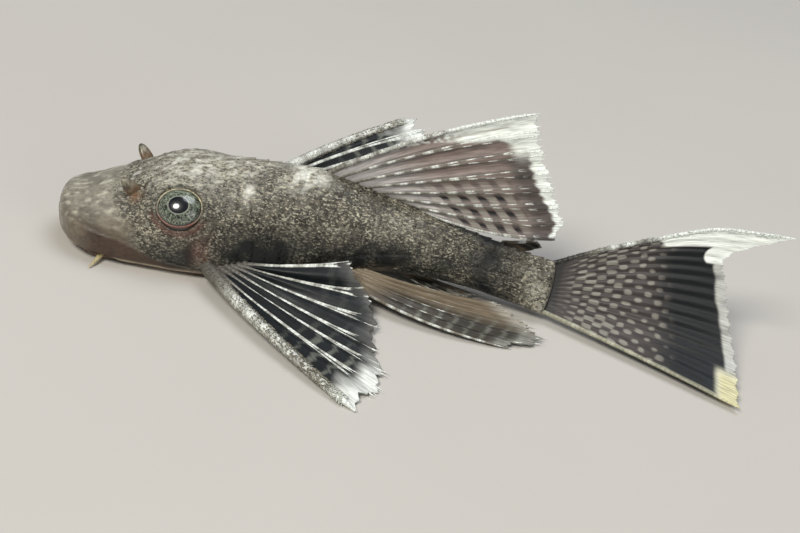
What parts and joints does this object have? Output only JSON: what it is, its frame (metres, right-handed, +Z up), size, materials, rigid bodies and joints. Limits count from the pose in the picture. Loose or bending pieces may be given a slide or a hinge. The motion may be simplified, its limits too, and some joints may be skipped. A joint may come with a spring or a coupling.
{
  "type": "bristlenose pleco",
  "caption": "Still model of a young bristlenose pleco lying on its belly, with spread fins, armoured flanks and its tail curved to the left.",
  "frame": {"origin": "centre of the bounding box on the floor that the belly rests on", "axes": "+X from the snout toward the tail, +Y toward the fish's right side, +Z up"},
  "size_m": [0.0494, 0.0306, 0.0138],
  "materials": {
    "skin": "moist armoured skin with fine granules",
    "eye": "clear and wet",
    "lips": "soft, with small papillae",
    "barbel": "soft and moist",
    "fin": "thin moist membrane with raised rays"
  },
  "bodies": {
    "root": {"head": "skin", "trunk": "skin", "tail": "skin", "eye_left": "eye", "eye_right": "eye", "mouth_disc": "lips", "barbel_left": "barbel", "barbel_right": "barbel", "dorsal_fin": "fin", "adipose_fin": "fin", "anal_fin": "fin", "caudal_fin": "fin", "pectoral_fin_left": "fin", "pectoral_fin_right": "fin", "pelvic_fin_left": "fin", "pelvic_fin_right": "fin"}
  },
  "joints": []
}
